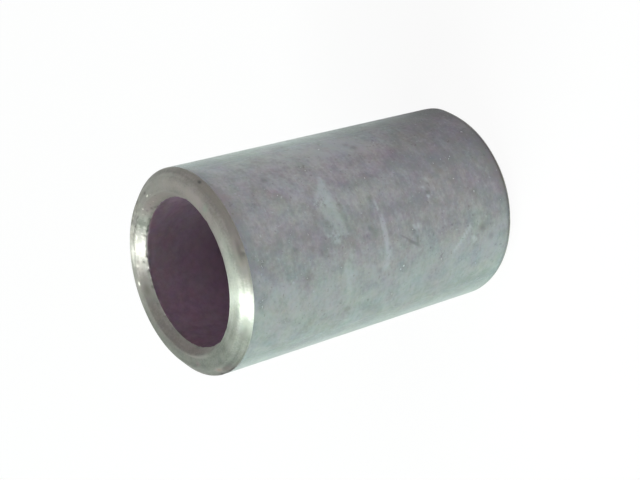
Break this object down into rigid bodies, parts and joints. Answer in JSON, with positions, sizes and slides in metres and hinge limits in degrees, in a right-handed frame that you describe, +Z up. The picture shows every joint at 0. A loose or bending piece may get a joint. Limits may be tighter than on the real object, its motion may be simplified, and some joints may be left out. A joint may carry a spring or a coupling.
{
  "type": "spacer sleeve",
  "caption": "Plain round steel spacer sleeve: a short thick-walled tube with square faces, a bevelled rim and a bevelled bore mouth at each end.",
  "frame": {"origin": "centre of the lower end face, which the sleeve stands on", "axes": "+Z up along the sleeve's axis; X and Y across it"},
  "size_m": [0.0222, 0.0222, 0.0381],
  "materials": {
    "steel": "dull grey scale-worn steel outside, brighter turned ends, dark oxide in the bore"
  },
  "bodies": {
    "root": {"sleeve": "steel"}
  },
  "joints": []
}
